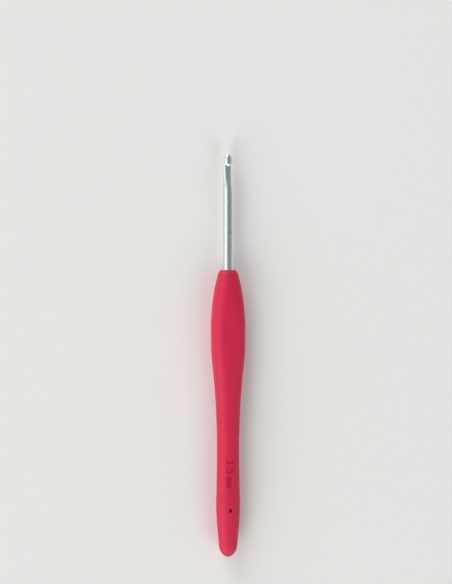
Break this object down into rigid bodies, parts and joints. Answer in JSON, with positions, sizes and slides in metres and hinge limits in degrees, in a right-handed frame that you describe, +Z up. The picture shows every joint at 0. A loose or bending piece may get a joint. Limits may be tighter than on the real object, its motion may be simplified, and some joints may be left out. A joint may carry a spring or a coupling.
{
  "type": "crochet hook",
  "caption": "Aluminium crochet hook with a soft, waisted handle, for working yarn into loops by hand.",
  "frame": {"origin": "under the middle of the hook, halfway between its point and its butt, on the surface that it lies on", "axes": "+Y along the hook to its point, +Z up, out of the throat and the thumb rest, +X to the right"},
  "size_m": [0.0118, 0.14, 0.0094],
  "materials": {
    "drawn_aluminium": "polished to a satin sheen, natural silver",
    "hard_plastic": "moulded, dark crimson",
    "soft_elastomer": "moulded soft elastomer, matte crimson"
  },
  "bodies": {
    "root": {"hook": "drawn_aluminium", "handle_core": "hard_plastic", "soft_grip": "soft_elastomer"}
  },
  "joints": []
}
